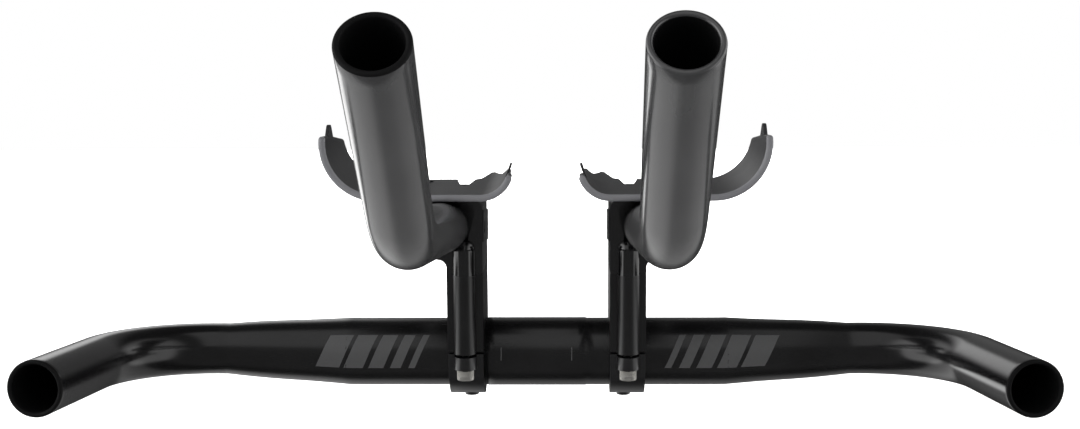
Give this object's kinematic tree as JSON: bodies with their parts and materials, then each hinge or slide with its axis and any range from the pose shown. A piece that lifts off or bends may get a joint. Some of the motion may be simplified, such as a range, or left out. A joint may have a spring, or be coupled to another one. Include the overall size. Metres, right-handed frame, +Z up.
{
  "type": "time trial handlebar",
  "caption": "Bullhorn base bar with tapered centre, riser brackets gripping bent forward extensions, and shallow plastic arm cups with curled wings.",
  "frame": {"origin": "centre of the stem clamping zone, on the bar's axis", "axes": "+X along the bar towards the rider's left, -Y forward along the extensions, +Z up"},
  "size_m": [0.4258, 0.3329, 0.1849],
  "materials": {
    "bar_alloy": "gloss black anodised",
    "extension_alloy": "polished dark grey anodised",
    "bracket_alloy": "satin black anodised",
    "bright_screw": "plated steel",
    "dark_screw": "black oxide steel",
    "cup_plastic": "matte dark grey moulded nylon"
  },
  "bodies": {
    "root": {"base_bar": "bar_alloy", "left_extension": "extension_alloy", "right_extension": "extension_alloy", "left_bracket": "bracket_alloy", "right_bracket": "bracket_alloy", "left_lower_jaw": "bracket_alloy", "right_lower_jaw": "bracket_alloy", "left_front_jaw_screw": "bright_screw", "left_rear_jaw_screw": "bright_screw", "right_front_jaw_screw": "bright_screw", "right_rear_jaw_screw": "bright_screw", "left_front_grub_screw": "dark_screw", "left_rear_grub_screw": "dark_screw", "right_front_grub_screw": "dark_screw", "right_rear_grub_screw": "dark_screw", "left_arm_cup": "cup_plastic", "right_arm_cup": "cup_plastic", "left_front_cup_washer": "bright_screw", "left_rear_cup_washer": "bright_screw", "right_front_cup_washer": "bright_screw", "right_rear_cup_washer": "bright_screw", "left_front_cup_screw": "dark_screw", "left_rear_cup_screw": "dark_screw", "right_front_cup_screw": "dark_screw", "right_rear_cup_screw": "dark_screw"}
  },
  "joints": []
}
